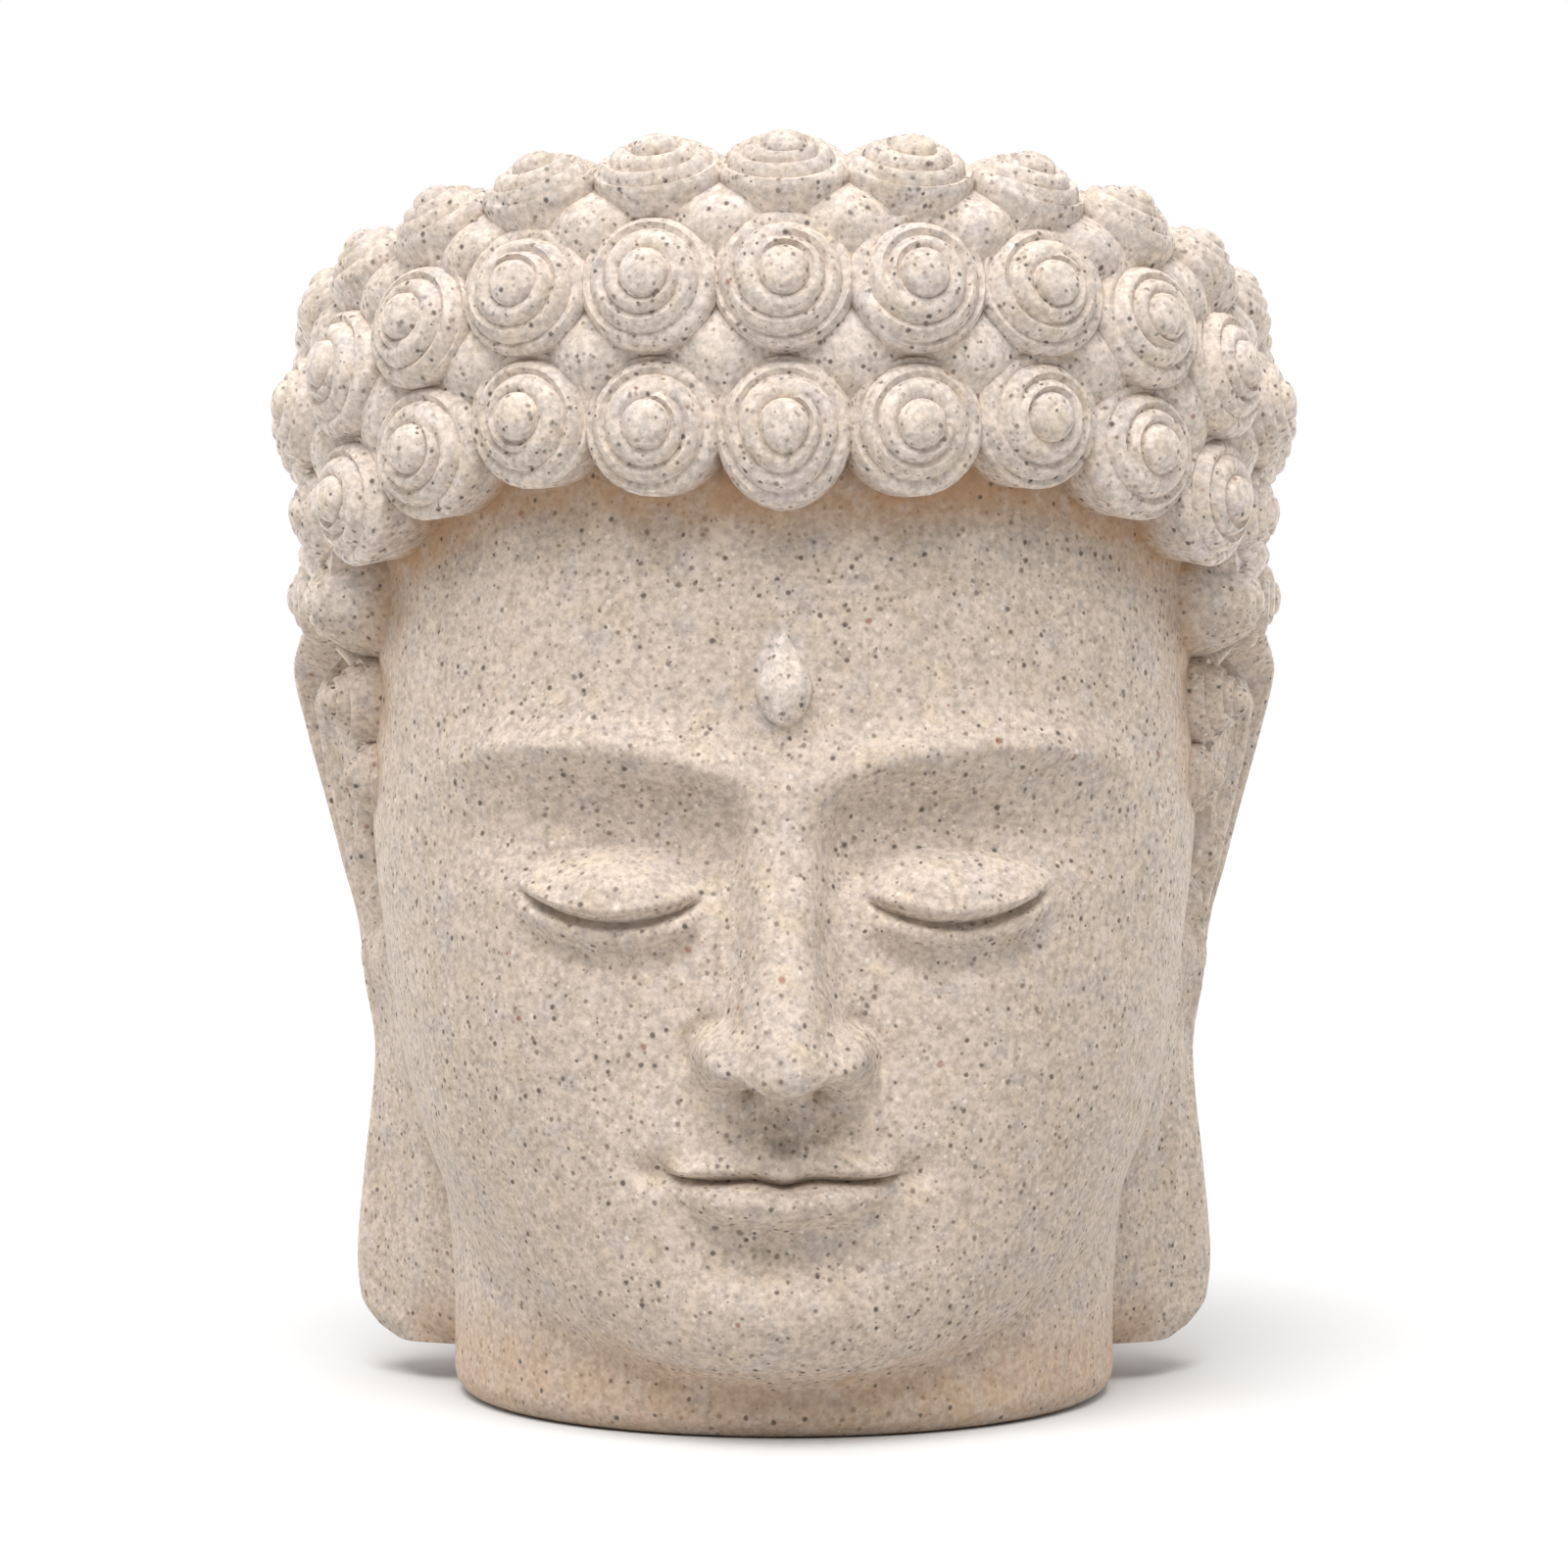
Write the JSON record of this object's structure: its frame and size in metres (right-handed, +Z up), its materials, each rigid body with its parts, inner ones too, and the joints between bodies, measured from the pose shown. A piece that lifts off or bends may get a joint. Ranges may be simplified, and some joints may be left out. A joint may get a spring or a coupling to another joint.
{
  "type": "buddha head planter",
  "caption": "Small planter in the form of a calm head with snail-shell curls and long ears, open above, with a round planting hollow and a flat base.",
  "frame": {"origin": "middle of the flat base, on the surface that the planter stands on", "axes": "+Z up, the face looks along -Y, +X towards the head's own left ear"},
  "size_m": [0.13, 0.1283, 0.1501],
  "materials": {
    "sandstone_resin": "matte sand-filled resin in pale beige with dark grey and rust specks"
  },
  "bodies": {
    "root": {"buddha_head": "sandstone_resin"}
  },
  "joints": []
}
